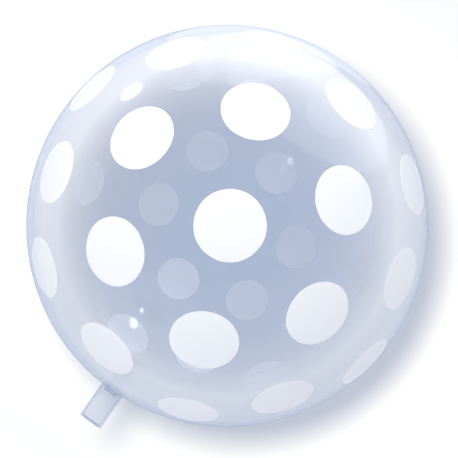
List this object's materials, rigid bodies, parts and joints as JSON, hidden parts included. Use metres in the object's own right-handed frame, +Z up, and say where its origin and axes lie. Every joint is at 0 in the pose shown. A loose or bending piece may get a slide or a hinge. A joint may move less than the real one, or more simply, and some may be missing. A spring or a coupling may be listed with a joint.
{
  "type": "clear bubble balloon",
  "caption": "Clear round film balloon, blown up to a ball, with large opaque white dots printed front and back, a welded seal round its equator and a flat neck with a self-sealing valve.",
  "frame": {"origin": "middle of the neck stem, just below the ball, where a ribbon or a holder grips it", "axes": "+Z up from the neck to the crown, -Y the way the front panel faces, +X to the right seen from the front"},
  "size_m": [0.569, 0.5604, 0.6295],
  "materials": {
    "clear_film": "gloss",
    "welded_film": "gloss",
    "neck_film": "gloss",
    "valve_film": "satin",
    "white_ink": "satin"
  },
  "bodies": {
    "bubble": {"dot_back_centre": "white_ink", "dot_back_inner_01": "white_ink", "dot_back_inner_02": "white_ink", "dot_back_inner_03": "white_ink", "dot_back_inner_04": "white_ink", "dot_back_inner_05": "white_ink", "dot_back_inner_06": "white_ink", "dot_back_outer_01": "white_ink", "dot_back_outer_02": "white_ink", "dot_back_outer_03": "white_ink", "dot_back_outer_04": "white_ink", "dot_back_outer_05": "white_ink", "dot_back_outer_06": "white_ink", "dot_back_outer_07": "white_ink", "dot_back_outer_08": "white_ink", "dot_back_outer_09": "white_ink", "dot_back_outer_10": "white_ink", "dot_back_outer_11": "white_ink", "dot_back_outer_12": "white_ink", "dot_front_centre": "white_ink", "dot_front_inner_01": "white_ink", "dot_front_inner_02": "white_ink", "dot_front_inner_03": "white_ink", "dot_front_inner_04": "white_ink", "dot_front_inner_05": "white_ink", "dot_front_inner_06": "white_ink", "dot_front_outer_01": "white_ink", "dot_front_outer_02": "white_ink", "dot_front_outer_03": "white_ink", "dot_front_outer_04": "white_ink", "dot_front_outer_05": "white_ink", "dot_front_outer_06": "white_ink", "dot_front_outer_07": "white_ink", "dot_front_outer_08": "white_ink", "dot_front_outer_09": "white_ink", "dot_front_outer_10": "white_ink", "dot_front_outer_11": "white_ink", "dot_front_outer_12": "white_ink", "film_panel_back": "clear_film", "film_panel_front": "clear_film", "neck_crease_film": "neck_film", "neck_stem_film_back": "neck_film", "neck_stem_film_front": "neck_film", "seal_band": "welded_film", "valve_weld_back": "valve_film", "valve_weld_front": "valve_film"},
    "neck_tail": {"tail_film_front": "neck_film", "tail_film_back": "neck_film", "tail_seal_left": "welded_film", "tail_seal_right": "welded_film", "mouth_hem_front": "welded_film", "mouth_hem_back": "welded_film"},
    "front_leaf": {"valve_leaf_front": "valve_film"},
    "back_leaf": {"valve_leaf_back": "valve_film"}
  },
  "joints": [
    {"name": "neck_bend", "type": "hinge", "parent": "bubble", "child": "neck_tail", "pos_m": [0, 0, -0.0103], "axis": [1, 0, 0], "range_deg": [-65, 65], "stiffness_Nm_per_rad": 0.0005, "deforming": ["neck_crease_film"]},
    {"name": "front_leaf_open", "type": "hinge", "parent": "bubble", "child": "front_leaf", "pos_m": [0, -0.00208, -0.004], "axis": [1, 0, 0], "range_deg": [0, 6], "stiffness_Nm_per_rad": 0.0002},
    {"name": "back_leaf_open", "type": "hinge", "parent": "bubble", "child": "back_leaf", "pos_m": [0, 0.00208, -0.004], "axis": [1, 0, 0], "range_deg": [-6, 0], "stiffness_Nm_per_rad": 0.0002}
  ],
  "couplings": [
    {"joint": "back_leaf_open", "follows": "front_leaf_open", "ratio": -1}
  ]
}
